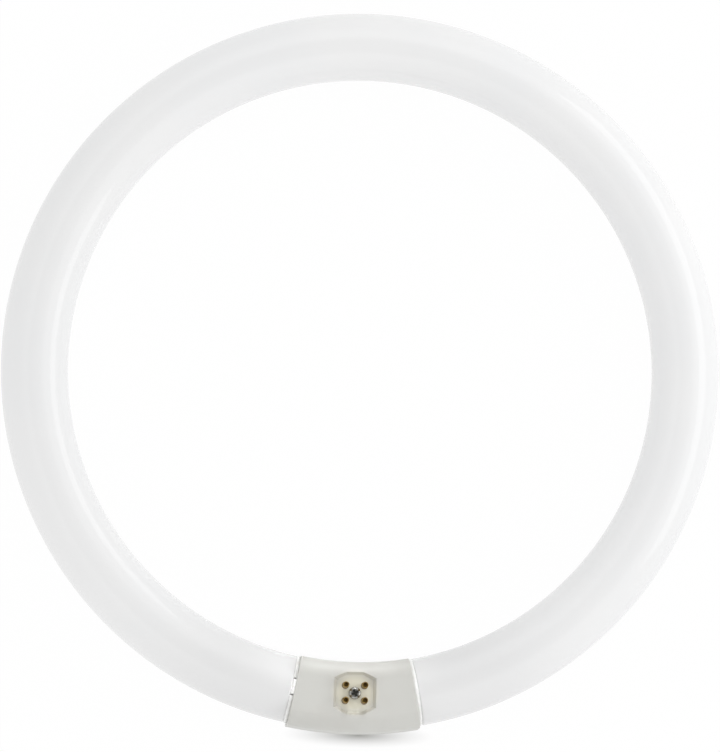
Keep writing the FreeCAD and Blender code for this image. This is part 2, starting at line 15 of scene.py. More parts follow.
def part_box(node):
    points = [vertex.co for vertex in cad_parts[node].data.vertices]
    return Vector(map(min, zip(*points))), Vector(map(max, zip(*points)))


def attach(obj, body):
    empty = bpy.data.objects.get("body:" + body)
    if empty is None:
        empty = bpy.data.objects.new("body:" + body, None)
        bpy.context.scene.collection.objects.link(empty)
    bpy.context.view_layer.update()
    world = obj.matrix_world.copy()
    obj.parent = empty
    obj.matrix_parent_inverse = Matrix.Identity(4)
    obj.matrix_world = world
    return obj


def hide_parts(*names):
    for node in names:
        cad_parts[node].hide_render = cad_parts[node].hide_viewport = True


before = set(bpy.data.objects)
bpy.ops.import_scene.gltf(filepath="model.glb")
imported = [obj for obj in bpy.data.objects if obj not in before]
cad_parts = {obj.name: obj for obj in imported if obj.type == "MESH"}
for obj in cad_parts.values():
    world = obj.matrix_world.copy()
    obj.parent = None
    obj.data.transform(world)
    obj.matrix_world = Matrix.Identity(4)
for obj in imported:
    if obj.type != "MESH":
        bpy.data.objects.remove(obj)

bl_info = {
    "name": "Ring Lamp Finish",
    "version": (1, 0, 0),
    "blender": (4, 5, 0),
    "location": "3D View > Sidebar > Ring Lamp",
    "description": "Finishes a ring-shaped fluorescent lamp and lights it in a white studio",
    "category": "Object",
}

BODY = "root"
MM = 0.001
FULL_TURN = 2 * math.pi
QUARTER_TURN = math.pi / 2
WHITE = (1.0, 1.0, 1.0, 1.0)

# Sizes read from the solids
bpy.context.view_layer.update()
GLASS_LOW, GLASS_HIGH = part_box("glass_tube")
FRONT_LOW, FRONT_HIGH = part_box("front_shell")
REAR_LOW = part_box("rear_shell")[0]
SCREW_LOW, SCREW_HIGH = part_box("clamp_screw")
PIN_NODES = tuple(f"contact_pin_{number}" for number in range(1, 5))
WIRE_NODES = tuple(f"lead_wire_{number}" for number in range(1, 5))
PIN_BOXES = tuple(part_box(node) for node in PIN_NODES)
PIN_CENTRES = tuple((low + high) / 2 for low, high in PIN_BOXES)
TUBE_RADIUS = (GLASS_HIGH.z - GLASS_LOW.z) / 2
RING_RADIUS = GLASS_HIGH.x - TUBE_RADIUS
MID_HEIGHT = (GLASS_HIGH.z + GLASS_LOW.z) / 2
CAP_HALF_ANGLE = math.asin(FRONT_HIGH.x / -FRONT_LOW.y)
PIN_TAIL = PIN_BOXES[0][0].z
PIN_TIP = PIN_BOXES[0][1].z
FLANGE_RADIUS = (PIN_BOXES[0][1].x - PIN_BOXES[0][0].x) / 2
PIN_SPACING = PIN_CENTRES[1] - PIN_CENTRES[2]
SEAT_CENTRE = Vector((SCREW_LOW.x + SCREW_HIGH.x, SCREW_LOW.y + SCREW_HIGH.y, 0.0)) / 2

# Middle and half lengths of the floor area that shows the cap's shadow, where the floor's colour is also
# darkened into a painted contact shadow
SHADOW_CENTRE = (3 * MM, REAR_LOW.y, 0.0)
SHADOW_REACH = (32 * MM, 5.3 * MM, 1.0)

# Height of the photograph's frame in pixels, and the camera's sensor in millimetres
PHOTO_HEIGHT = 752
SENSOR_WIDTH = 36.0

# Reach of the camera's view and of the floor
VIEW_REACH = 50.0
FLOOR_REACH = 20.0

# Angles from the zenith where the tent's opening begins to dim and where it is dimmest
OPENING_RIM = math.radians(32)
OPENING_MIDDLE = math.radians(14)

# Distances that weld a turned shape's seam, and the stems to the tube
SEAM_WELD = 1e-7
STEM_WELD = 0.02 * MM

# Angle from which a pin's edge is sharp, and the steps of its rounded tip
SHARP_ANGLE = math.radians(40)
TIP_STEPS = 4

# Points round a bead's section, and the place of the beads' unevenness in the noise
BEAD_SECTION_STEPS = 16
BEAD_SEED = 2.0

# The joint's dark line fades out between these shares of its width, measured from its middle
SEAM_FULL = 0.3
SEAM_GONE = 0.7


def length_setting(name, description, default):
    """A length in the settings."""
    return FloatProperty(name=name, description=description, default=default, unit="LENGTH")


def area_setting(name, description, default):
    """Two lengths in the settings, across and up."""
    return FloatVectorProperty(name=name, description=description, default=default, size=2, unit="LENGTH")


def direction_setting(name, description, default):
    """A direction in the settings."""
    return FloatVectorProperty(name=name, description=description, default=default, subtype="DIRECTION")


def angle_setting(name, description, degrees):
    """An angle in the settings."""
    return FloatProperty(name=name, description=description, default=math.radians(degrees), subtype="ANGLE")


def power_setting(name, description, default):
    """A light's power in the settings."""
    return FloatProperty(name=name, description=description, default=default, unit="POWER")


def share_setting(name, description, default):
    """A share between nothing and all in the settings."""
    return FloatProperty(name=name, description=description, default=default, min=0.0, max=1.0)


def count_setting(name, description, default, least):
    """A whole number in the settings."""
    return IntProperty(name=name, description=description, default=default, min=least)


def colour_setting(name, description, default):
    """A colour in the settings."""
    return FloatVectorProperty(
        name=name, description=description, default=default, subtype="COLOR", min=0.0, max=1.0)


class GlassSettings(PropertyGroup):
    """Sizes and colours of the bent glass tube."""

    half_gap: length_setting("Half Gap", "Half of the gap between the two glass ends", 12.5 * MM)
    end_round: length_setting("End Round", "Rounding of the glass ends inside the cap", 4 * MM)
    neck_radius: length_setting("Neck Radius", "Radius of the tube where it enters the cap", 13.1 * MM)
    neck_lead: length_setting("Neck Lead", "Distance from the cap's end to the tube's shoulder", 1.4 * MM)
    neck_round: length_setting("Neck Round", "Rounding of the tube's shoulder", 0.6 * MM)
    flare_mouth: length_setting("Flare Mouth", "Radius of the stem's flare at the end of the tube", 8 * MM)
    flare_depth: length_setting("Flare Depth", "How far the stem reaches into the tube", 9 * MM)
    press_radius: length_setting("Press Radius", "Radius of the stem's pinch", 4.5 * MM)
    exhaust_radius: length_setting("Exhaust Radius", "Radius of the sealed exhaust tip", 2.4 * MM)
    exhaust_reach: length_setting(
        "Exhaust Reach", "How far the exhaust tip stands out of the tube's end", 3 * MM)
    exhaust_taper: length_setting("Exhaust Taper", "Length of the exhaust tip's drawn-out end", 1.6 * MM)
    exhaust_tip: length_setting("Exhaust Tip", "Radius of the exhaust tip's very end", 0.8 * MM)
    path_steps: count_setting("Path Steps", "Sections round the ring", 720, 32)
    section_steps: count_setting("Section Steps", "Points round a section", 96, 12)
    crowding: FloatProperty(
        name="Crowding", description="How far the sections crowd together near the ends",
        default=0.9, min=0.0, max=0.95)
    powder: colour_setting("Powder", "Colour of the white powder coat", (0.9, 0.9, 0.9))
    thin_powder: colour_setting(
        "Thin Powder", "Colour where the powder coat is thinner", (0.875, 0.88, 0.885))
    # Greyer powder near the ends: partly the ends' own greying and partly painted shade near the cap
    end_powder_and_shade: colour_setting(
        "End Powder", "Colour of the powder close to the two ends", (0.785, 0.785, 0.785))
    end_reach: length_setting("End Reach", "How far from its ends the powder is greyer", 100 * MM)


class CapSettings(PropertyGroup):
    """Colours and finish of the moulded cap."""

    plastic: colour_setting("Plastic", "Colour of the cap's plastic", (0.608, 0.606, 0.574))
    plastic_shade: colour_setting(
        "Plastic Shade", "Colour of the cap's faint flow marks", (0.574, 0.567, 0.535))
    # Painted light: a lighter, yellower colour round the pin seat that lifts the shade of the pins
    seat_painted_light: colour_setting("Seat Tint", "Colour of the slightly yellowed pin seat", (0.84, 0.815, 0.67))
    painted_light_share: share_setting("Tint Share", "Strength of the tint in the middle of the seat", 0.85)
    painted_light_near: length_setting("Tint Near", "Distance from the seat's middle where the tint fades", 5 * MM)
    painted_light_far: length_setting("Tint Far", "Distance from the seat's middle where the tint ends", 11 * MM)
    seam_width: length_setting("Seam Width", "Width of the fine joint between the two halves", 0.22 * MM)
    seam_depth: FloatProperty(
        name="Seam Depth", description="Depth of the joint, in heights of the grain", default=8.0)
    seam_shade: colour_setting(
        "Seam Shade", "Colour in the joint between the two halves", (0.3, 0.29, 0.26))
    grain_size: length_setting("Grain Size", "Size of the mould's fine grain", 0.25 * MM)


class PinSettings(PropertyGroup):
    """Sizes and colours of the hollow contact pins."""

    pin_radius: length_setting("Pin Radius", "Radius of a pin's free end", 1.3 * MM)
    pin_length: length_setting("Pin Length", "Length of a pin over the floor of its seat", 6.8 * MM)
    tip_round: length_setting("Tip Round", "Rounding of a pin's tip", 0.25 * MM)
    bore_radius: length_setting("Bore Radius", "Radius of the open bore in a pin's tip", 0.9 * MM)
    bore_depth: length_setting("Bore Depth", "Depth of the open bore", 3 * MM)
    bore_lip: length_setting("Bore Lip", "Width of the flare at the bore's edge", 0.12 * MM)
    shank_radius: length_setting("Shank Radius", "Radius of the shank in the cap's hole", 1.45 * MM)
    shank_length: length_setting("Shank Length", "Thickness of the seat's floor", 2.5 * MM)
    flange_thickness: length_setting("Flange Thickness", "Thickness of the flange behind the seat", 0.6 * MM)
    tail_radius: length_setting("Tail Radius", "Radius of the tail that holds the wire", 0.9 * MM)
    tail_bore_radius: length_setting("Tail Bore Radius", "Radius of the wire's bore", 0.5 * MM)
    tail_bore_depth: length_setting("Tail Bore Depth", "Depth of the wire's bore", 3 * MM)
    steps: count_setting("Steps", "Points round a pin", 48, 12)
    brass: colour_setting("Brass", "Colour of the bright brass", (0.38, 0.26, 0.09))
    tarnish: colour_setting("Tarnish", "Colour of the tarnished brass", (0.15, 0.092, 0.028))
    # Painted shade: the bore's colour darkens towards its floor, where shade falls
    bore_painted_shade: colour_setting("Soot", "Colour deep in the bore", (0.02, 0.014, 0.008))
    bore_shade_share: share_setting("Soot Share", "Strength of the soot at the bore's floor", 0.4)
    bore_shade_start: length_setting("Soot Start", "Depth in the bore where the soot begins", 0.3 * MM)


class ScrewSettings(PropertyGroup):
    """Colours of the clamp screw."""

    steel: colour_setting("Steel", "Colour of the plated steel", (0.46, 0.46, 0.44))
    steel_shade: colour_setting("Steel Shade", "Colour of the plating where it is dull", (0.25, 0.25, 0.235))
    # Painted shade: the colour deep in the cross recess, where shade falls
    recess_painted_shade: colour_setting("Recess Shade", "Colour deep in the cross recess", (0.1, 0.1, 0.09))
    recess_radius: length_setting("Recess Radius", "Reach of the cross recess", 1.7 * MM)
    recess_start: length_setting("Recess Start", "Depth where the recess begins to darken", 0.08 * MM)
    recess_depth: length_setting("Recess Depth", "Depth where the recess is darkest", 0.8 * MM)


class WireSettings(PropertyGroup):
    """Colours of the lead wires."""

    metal: colour_setting("Metal", "Colour of the bare wire", (0.6, 0.57, 0.52))
    metal_shade: colour_setting("Metal Shade", "Colour of the wire where it is dull", (0.42, 0.38, 0.33))


class SealantSettings(PropertyGroup):
    """Size and colours of the sealant beads at the cap's mouths."""

    thickness: length_setting("Thickness", "Radius of a bead's round section", 0.88 * MM)
    height: length_setting("Height", "Height of a bead over the tube", 0.1 * MM)
    standing_out: length_setting(
        "Standing Out", "Distance of a bead's middle from the cap's end", 0.74 * MM)
    left_lumps: share_setting("Left Lumps", "How uneven the left bead is, as a share of its size", 0.45)
    right_lumps: share_setting("Right Lumps", "How uneven the right bead is, as a share of its size", 0.12)
    lump_size: length_setting("Lump Size", "Length of a lump in a bead", 2.2 * MM)
    first_notch: angle_setting(
        "First Notch", "Place of the left bead's first break, from the top of the tube", -17)
    second_notch: angle_setting(
        "Second Notch", "Place of the left bead's second break, from the top of the tube", 12)
    notch_width: angle_setting("Notch Width", "Half the length of a break, round the tube", 2.2)
    notch_depth: share_setting("Notch Depth", "Depth of a break, as a share of the bead", 0.85)
    steps: count_setting("Steps", "Points along a bead", 360, 48)
    white: colour_setting("White", "Colour of the sealant", (0.93, 0.93, 0.92))
    white_shade: colour_setting("White Shade", "Colour of the sealant's hollows", (0.84, 0.84, 0.82))
    # Painted shade: a dark colour in the bead's breaks, where the gap between tube and cap shows
    break_painted_shade: colour_setting("Break Shade", "Colour of the dirt in a bead's breaks", (0.16, 0.15, 0.13))


class StageSettings(PropertyGroup):
    """Camera, lights and floor."""

    distance: length_setting("Camera Distance", "From the camera to the ring's plane", 5.0)
    focal: FloatProperty(
        name="Focal Length", description="Camera's focal length, in pixels of the photograph",
        default=12022.0)
    yaw: angle_setting("Yaw", "How far the ring's right side is turned to the camera", -3)
    pitch: angle_setting("Pitch", "How far the cap is turned to the camera", 4.5)
    roll: angle_setting("Roll", "Turn of the camera about its view line", 1.25)
    ring_offset: area_setting(
        "Ring Offset", "Ring's centre from the middle of the picture, in the camera's plane",
        (0.1 * MM, 1.9 * MM))
    floor_colour: colour_setting("Floor", "Colour of the floor", (0.95, 0.95, 0.95))
    # Painted shadow: the floor's colour at the cap's contact, darker than the rest of the floor
    painted_contact_shadow_colour: colour_setting(
        "Contact", "Colour of the floor where the cap's shadow is deepest", (0.5, 0.5, 0.48))
    floor_glow: share_setting("Floor Glow", "Share of the floor's look that is plain white", 0.98)
    shadow_glow: share_setting(
        "Shadow Glow", "The same share on the floor below the cap, where its shadow lies", 0.0)
    sky: FloatProperty(
        name="Sky", description="Brightness of the white tent round the lamp", default=0.82, min=0.0)
    lens_gap: FloatProperty(
        name="Lens Gap", description="Brightness of the tent's opening overhead, as metal mirrors it",
        default=0.3, min=0.0)
    softbox_distance: length_setting("Softbox Distance", "From the ring's centre to a softbox", 1.2)
    side_direction: direction_setting(
        "Side Direction", "Where the softbox on the lamp's right stands", (0.84, 0.2, 0.5))
    side_size: area_setting("Side Size", "Width and height of the softbox on the lamp's right", (1.7, 0.5))
    side_power: power_setting("Side Power", "Power of the softbox on the lamp's right", 3.2)
    far_direction: direction_setting(
        "Far Direction", "Where the softbox beyond the lamp stands", (0.1, 0.75, 0.66))
    far_size: area_setting("Far Size", "Width and height of the softbox beyond the lamp", (1.2, 0.6))
    far_power: power_setting("Far Power", "Power of the softbox beyond the lamp", 0.6)
    fill_direction: direction_setting("Fill Direction", "Where the fill light stands", (-0.35, -0.85, 0.5))
    fill_size: area_setting("Fill Size", "Width and height of the fill light", (1.4, 0.7))
    fill_power: power_setting("Fill Power", "Power of the fill light", 1.2)
    spot_distance: length_setting("Spot Distance", "From the cap to its spots", 0.9)
    spot_softness: length_setting("Spot Softness", "Radius of a spot, which softens its shadow", 0.03)
    cap_aim: area_setting(
        "Cap Aim", "Where the cap's spot is brightest, from the middle of the cap's front",
        (-6 * MM, 6 * MM))
    cap_direction: direction_setting(
        "Cap Direction", "Where the cap's spot stands, from the cap", (0.05, 0.93, 0.36))
    cap_power: power_setting("Cap Power", "Power of the cap's spot", 30.0)
    cap_cone: angle_setting("Cap Cone", "Opening angle of the cap's spot", 2.8)
    seat_aim: area_setting(
        "Seat Aim", "Where the pin seat's spot is brightest, from the middle of the cap's front",
        (1 * MM, 1 * MM))
    seat_direction: direction_setting(
        "Seat Direction", "Where the pin seat's spot stands, from the cap", (0.85, -0.1, 0.55))
    seat_power: power_setting("Seat Power", "Power of the pin seat's spot", 29.0)
    seat_cone: angle_setting("Seat Cone", "Opening angle of the pin seat's spot", 1.7)


SETTINGS = {
    "ring_lamp_glass": GlassSettings,
    "ring_lamp_cap": CapSettings,
    "ring_lamp_pins": PinSettings,
    "ring_lamp_screw": ScrewSettings,
    "ring_lamp_wires": WireSettings,
    "ring_lamp_sealant": SealantSettings,
    "ring_lamp_stage": StageSettings,
}


def set_inputs(tree, node, inputs):
    """Set a node's inputs by name or number, as values or links."""
    for key, value in inputs.items():
        if isinstance(value, bpy.types.NodeSocket):
            tree.links.new(value, node.inputs[key])
        else:
            node.inputs[key].default_value = value


def add_node(tree, kind, inputs=None, **settings):
    """Add a node with its settings and its inputs."""
    node = tree.nodes.new(kind)
    for name, value in settings.items():
        setattr(node, name, value)
    set_inputs(tree, node, inputs or {})
    return node


def calculate(tree, operation, first, second=0.0, third=0.0):
    """Add a math node and return its result."""
    node = add_node(tree, "ShaderNodeMath", {0: first, 1: second, 2: third}, operation=operation)
    return node.outputs[0]


def ramp(tree, value, start, end, low=1.0, high=0.0, curve="SMOOTHSTEP"):
    """A value that runs from low to high while another one goes from start to end."""
    node = add_node(tree, "ShaderNodeMapRange", {
        "Value": value, "From Min": start, "From Max": end, "To Min": low, "To Max": high},
        interpolation_type=curve)
    return node.outputs["Result"]


def mix(tree, share, first, second, kind="RGBA"):
    """A mix of two colours, or of two numbers where the kind is FLOAT."""
    node = add_node(tree, "ShaderNodeMix", {"Factor": share, "A": first, "B": second}, data_type=kind)
    return node.outputs["Result"]


def vector(tree, **axes):
    """A vector from the numbers given for its axes, with nothing on the others."""
    return add_node(tree, "ShaderNodeCombineXYZ", axes).outputs["Vector"]


def axes_of(tree, place):
    """The three numbers of a vector, by the names of the axes."""
    return add_node(tree, "ShaderNodeSeparateXYZ", {0: place}).outputs


def distance_from(tree, place, point):
    """Distance of a place from a point."""
    return add_node(tree, "ShaderNodeVectorMath", {0: place, 1: point}, operation="DISTANCE").outputs["Value"]


def attribute(tree, name):
    """A number stored on a piece's points, for its material."""
    return add_node(tree, "ShaderNodeAttribute", attribute_name=name).outputs["Fac"]


def object_place(tree):
    """The surface's place in the lamp's frame."""
    return tree.nodes.new("ShaderNodeTexCoord").outputs["Object"]


def colour(value):
    """A settings colour as the four numbers that a colour socket takes."""
    return (*value, 1.0)


def add_tree(kind, name, inputs, outputs):
    """Start a node group whose sockets are named under their types; return it with its two end nodes."""
    tree = bpy.data.node_groups.new(name, kind)
    for in_out, sockets in (("INPUT", inputs), ("OUTPUT", outputs)):
        for socket, labels in sockets.items():
            for label in labels:
                tree.interface.new_socket(name=label, in_out=in_out, socket_type=f"NodeSocket{socket}")
    return tree, tree.nodes.new("NodeGroupInput").outputs, tree.nodes.new("NodeGroupOutput").inputs


def new_piece(name, data):
    """Link a mesh, a light or a camera to the scene as an object at the origin."""
    piece = bpy.data.objects.new(name, data)
    bpy.context.scene.collection.objects.link(piece)
    return piece


def bake_nodes(name, start_mesh, tree, values):
    """Run a geometry tree on a mesh with the given inputs and return the result as a plain piece."""
    source = new_piece(f"{name}_source", start_mesh)
    modifier = source.modifiers.new(tree.name, "NODES")
    modifier.node_group = tree
    for item in tree.interface.items_tree:
        if item.item_type == "SOCKET" and item.in_out == "INPUT" and item.name in values:
            modifier[item.identifier] = values[item.name]
    graph = bpy.context.evaluated_depsgraph_get()
    mesh = bpy.data.meshes.new_from_object(source.evaluated_get(graph), depsgraph=graph)
    mesh.name = name
    bpy.data.objects.remove(source)
    bpy.data.meshes.remove(start_mesh)
    if not mesh.polygons:
        raise RuntimeError(f"{tree.name} made no faces for {name}")
    return new_piece(name, mesh)


def finish_tree(tree, geometry, material, result):
    """End a geometry tree: make its instances real, give it its material and put it out."""
    real = add_node(tree, "GeometryNodeRealizeInstances", {"Geometry": geometry})
    painted = add_node(tree, "GeometryNodeSetMaterial", {
        "Geometry": real.outputs["Geometry"], "Material": material})
    tree.links.new(painted.outputs["Geometry"], result)


def turned_mesh(name, profile, steps):
    """Mesh of a profile of (radius, height) points turned about Z, closed where it meets the axis."""
    shape = bmesh.new()
    points = [shape.verts.new((radius, 0.0, height)) for radius, height in profile]
    edges = [shape.edges.new(pair) for pair in zip(points, points[1:])]
    bmesh.ops.spin(
        shape, geom=points + edges, cent=(0, 0, 0), axis=(0, 0, 1), angle=FULL_TURN, steps=steps,
        use_merge=True)
    bmesh.ops.remove_doubles(shape, verts=shape.verts, dist=SEAM_WELD)
    bmesh.ops.recalc_face_normals(shape, faces=shape.faces)
    mesh = bpy.data.meshes.new(name)
    shape.to_mesh(mesh)
    shape.free()
    return mesh


def cloud_group(name):
    """Shared effect: one colour drifting softly into another."""
    tree, given, made = add_tree(
        "ShaderNodeTree", name,
        {"Vector": ["Place"], "Float": ["Size", "Amount"], "Color": ["Main", "Other"]}, {"Color": ["Color"]})
    noise = add_node(tree, "ShaderNodeTexNoise", {
        "Vector": given["Place"], "Scale": calculate(tree, "DIVIDE", 1.0, given["Size"]),
        "Detail": 5.0, "Roughness": 0.55})
    soft = ramp(tree, noise.outputs["Fac"], start=0.36, end=0.64, low=0.0, high=1.0)
    share = calculate(tree, "MULTIPLY", soft, given["Amount"])
    tree.links.new(mix(tree, share, given["Main"], given["Other"]), made["Color"])
    return tree


def rub_group(name):
    """Shared effect: a roughness that wanders between a polished and a dull value, with fine rub marks."""
    tree, given, made = add_tree(
        "ShaderNodeTree", name,
        {"Vector": ["Place"], "Float": ["Size", "Polished", "Dull"]}, {"Float": ["Roughness"]})
    scale = calculate(tree, "DIVIDE", 1.0, given["Size"])
    broad = add_node(tree, "ShaderNodeTexNoise", {
        "Vector": given["Place"], "Scale": scale, "Detail": 3.0, "Roughness": 0.6})
    stretched = add_node(tree, "ShaderNodeMapping", {"Vector": given["Place"], "Scale": (6.0, 0.8, 3.0)})
    fine = add_node(tree, "ShaderNodeTexNoise", {
        "Vector": stretched.outputs["Vector"], "Scale": scale, "Detail": 6.0, "Roughness": 0.7})
    fine_share = 0.35
    both = calculate(tree, "MULTIPLY_ADD", fine.outputs["Fac"], fine_share, calculate(
        tree, "MULTIPLY", broad.outputs["Fac"], 1.0 - fine_share))
    ranged = ramp(
        tree, both, start=0.35, end=0.65, low=given["Polished"], high=given["Dull"], curve="LINEAR")
    tree.links.new(ranged, made["Roughness"])
    return tree


def grain_group(name):
    """Shared effect: the height of a fine, uneven surface grain on broad waves."""
    tree, given, made = add_tree(
        "ShaderNodeTree", name, {"Vector": ["Place"], "Float": ["Size", "Waves"]}, {"Float": ["Height"]})
    scale = calculate(tree, "DIVIDE", 1.0, given["Size"])
    fine = add_node(tree, "ShaderNodeTexNoise", {
        "Vector": given["Place"], "Scale": scale, "Detail": 3.0, "Roughness": 0.6})
    wave_scale = 0.02
    broad = add_node(tree, "ShaderNodeTexNoise", {
        "Vector": given["Place"], "Scale": calculate(tree, "MULTIPLY", scale, wave_scale), "Detail": 1.0})
    height = calculate(tree, "MULTIPLY_ADD", broad.outputs["Fac"], given["Waves"], fine.outputs["Fac"])
    tree.links.new(height, made["Height"])
    return tree


EFFECTS = {"Cloudy Colour": cloud_group, "Handling Marks": rub_group, "Surface Grain": grain_group}


def use_effect(tree, name, inputs):
    """Put a shared effect, made at its first use, into a material's tree and return its result."""
    effect = bpy.data.node_groups.get(name) or EFFECTS[name](name)
    return add_node(tree, "ShaderNodeGroup", inputs, node_tree=effect).outputs[0]


def clouded(tree, place, size, amount, main, other):
    """A colour that drifts between two colours of the settings."""
    return use_effect(tree, "Cloudy Colour", {
        "Place": place, "Size": size, "Amount": amount, "Main": colour(main), "Other": colour(other)})


def rubbed(tree, place, size, polished, dull):
    """The roughness of a handled surface."""
    return use_effect(tree, "Handling Marks", {
        "Place": place, "Size": size, "Polished": polished, "Dull": dull})


def grained(tree, place, size, waves):
    """The height of a fine surface grain."""
    return use_effect(tree, "Surface Grain", {"Place": place, "Size": size, "Waves": waves})


def bumped(tree, height, depth):
    """The surface normal that a height gives."""
    return add_node(tree, "ShaderNodeBump", {"Height": height, "Distance": depth}).outputs["Normal"]


def new_material(name):
    """Start a node material; return it with its tree, its Principled shader and the surface's place."""
    material = bpy.data.materials.new(name)
    material.use_nodes = True
    tree = material.node_tree
    return material, tree, tree.nodes["Principled BSDF"], object_place(tree)


def coated_glass(settings):
    """Clear glossy glass over a white powder that is a little uneven and greyer towards the ends, partly as
    painted shade near the cap.
    """
    material, tree, shader, place = new_material("coated_glass")
    powder = clouded(
        tree, place, size=50 * MM, amount=0.6, main=settings.powder, other=settings.thin_powder)
    greyed_near_ends = ramp(tree, attribute(tree, "from_end"), 0.0, settings.end_reach, curve="SMOOTHERSTEP")
    set_inputs(tree, shader, {
        "Base Color": mix(tree, greyed_near_ends, powder, colour(settings.end_powder_and_shade)),
        "Roughness": 0.7,
        "Specular IOR Level": 0.0,
        "Coat Weight": 1.0,
        "Coat Roughness": 0.03,
        "Coat IOR": 1.5,
        "Normal": bumped(tree, grained(tree, place, size=18 * MM, waves=0.0), depth=0.05 * MM),
    })
    return material


def cap_plastic(settings):
    """Satin moulded plastic with faint flow marks, fine grain, painted light on a lighter, yellower pin seat
    and a fine joint.
    """
    material, tree, shader, place = new_material("cap_plastic")
    plain = clouded(
        tree, place, size=20 * MM, amount=0.7, main=settings.plastic, other=settings.plastic_shade)
    # Painted light: the seat's colour is made lighter and yellower round the pins, where their shade falls
    away = distance_from(tree, place, (SEAT_CENTRE.x, SEAT_CENTRE.y, FRONT_HIGH.z))
    seat = ramp(tree, away, settings.painted_light_near, settings.painted_light_far, low=settings.painted_light_share)
    with_painted_light = mix(tree, seat, plain, colour(settings.seat_painted_light))
    from_joint = calculate(tree, "ABSOLUTE", calculate(
        tree, "SUBTRACT", axes_of(tree, place)["Z"], MID_HEIGHT))
    joint = ramp(tree, from_joint, settings.seam_width * SEAM_FULL, settings.seam_width * SEAM_GONE)
    grain = grained(tree, place, size=settings.grain_size, waves=1.5)
    height = calculate(tree, "MULTIPLY_ADD", joint, -settings.seam_depth, grain)
    set_inputs(tree, shader, {
        "Base Color": mix(tree, joint, with_painted_light, colour(settings.seam_shade)),
        "Roughness": rubbed(tree, place, size=8 * MM, polished=0.34, dull=0.48),
        "Normal": bumped(tree, height, depth=0.02 * MM),
    })
    return material


def pin_brass(settings):
    """Dull drawn brass, tarnished in patches, with painted shade deep in the bore."""
    material, tree, shader, place = new_material("pin_brass")
    patchy = clouded(tree, place, size=1.2 * MM, amount=0.8, main=settings.brass, other=settings.tarnish)
    # Painted shade that darkens the bore with depth
    shade_by_depth = ramp(
        tree, attribute(tree, "bore_depth"), settings.bore_shade_start, settings.bore_depth,
        low=0.0, high=settings.bore_shade_share)
    set_inputs(tree, shader, {
        "Base Color": mix(tree, shade_by_depth, patchy, colour(settings.bore_painted_shade)),
        "Metallic": 1.0,
        "Roughness": rubbed(tree, place, size=1.5 * MM, polished=0.25, dull=0.5),
        "Normal": bumped(tree, grained(tree, place, size=0.08 * MM, waves=0.5), depth=0.01 * MM),
    })
    return material


def screw_steel(settings):
    """Plated steel, with painted shade in the cross recess."""
    material, tree, shader, place = new_material("screw_steel")
    plated = clouded(tree, place, size=1 * MM, amount=0.8, main=settings.steel, other=settings.steel_shade)
    flat = add_node(tree, "ShaderNodeVectorMath", {0: place, 1: (1.0, 1.0, 0.0)}, operation="MULTIPLY")
    reach = distance_from(tree, flat.outputs["Vector"], SEAT_CENTRE)
    # Painted shade in the cross recess, darkest at its depth
    inside = calculate(tree, "LESS_THAN", reach, settings.recess_radius)
    depth = calculate(tree, "SUBTRACT", SCREW_HIGH.z, axes_of(tree, place)["Z"])
    shade_by_depth = ramp(
        tree, depth, settings.recess_start, settings.recess_depth, low=0.0, high=1.0, curve="LINEAR")
    painted_recess_share = calculate(tree, "MULTIPLY", inside, shade_by_depth)
    set_inputs(tree, shader, {
        "Base Color": mix(tree, painted_recess_share, plated, colour(settings.recess_painted_shade)),
        "Metallic": 1.0,
        "Roughness": rubbed(tree, place, size=1.5 * MM, polished=0.18, dull=0.34),
        "Normal": bumped(tree, grained(tree, place, size=0.1 * MM, waves=0.5), depth=0.01 * MM),
    })
    return material


def lead_metal(settings):
    """Bare drawn wire."""
    material, tree, shader, place = new_material("lead_metal")
    set_inputs(tree, shader, {
        "Base Color": clouded(
            tree, place, size=2 * MM, amount=0.8, main=settings.metal, other=settings.metal_shade),
        "Metallic": 1.0,
        "Roughness": rubbed(tree, place, size=2 * MM, polished=0.3, dull=0.5),
    })
    return material


def sealant_white(settings):
    """Smooth white sealant, a little uneven, with painted shade in its breaks."""
    material, tree, shader, place = new_material("sealant")
    uneven = clouded(tree, place, size=3 * MM, amount=0.8, main=settings.white, other=settings.white_shade)
    # The breaks get a painted shade colour
    set_inputs(tree, shader, {
        "Base Color": mix(tree, attribute(tree, "broken"), uneven, colour(settings.break_painted_shade)),
        "Roughness": rubbed(tree, place, size=4 * MM, polished=0.25, dull=0.45),
        "Normal": bumped(tree, grained(tree, place, size=0.5 * MM, waves=1.0), depth=0.05 * MM),
    })
    return material


def rounding_drop(tree, distance, rounding):
    """How far a quarter-round edge has dropped below the full radius at a distance from its end."""
    short = calculate(tree, "SUBTRACT", 1.0, calculate(tree, "DIVIDE", distance, rounding))
    short = calculate(tree, "MINIMUM", calculate(tree, "MAXIMUM", short, 0.0), 1.0)
    squared = calculate(tree, "MULTIPLY", short, short)
    level = calculate(tree, "SQRT", calculate(tree, "SUBTRACT", 1.0, squared))
    return calculate(tree, "MULTIPLY", rounding, calculate(tree, "SUBTRACT", 1.0, level))


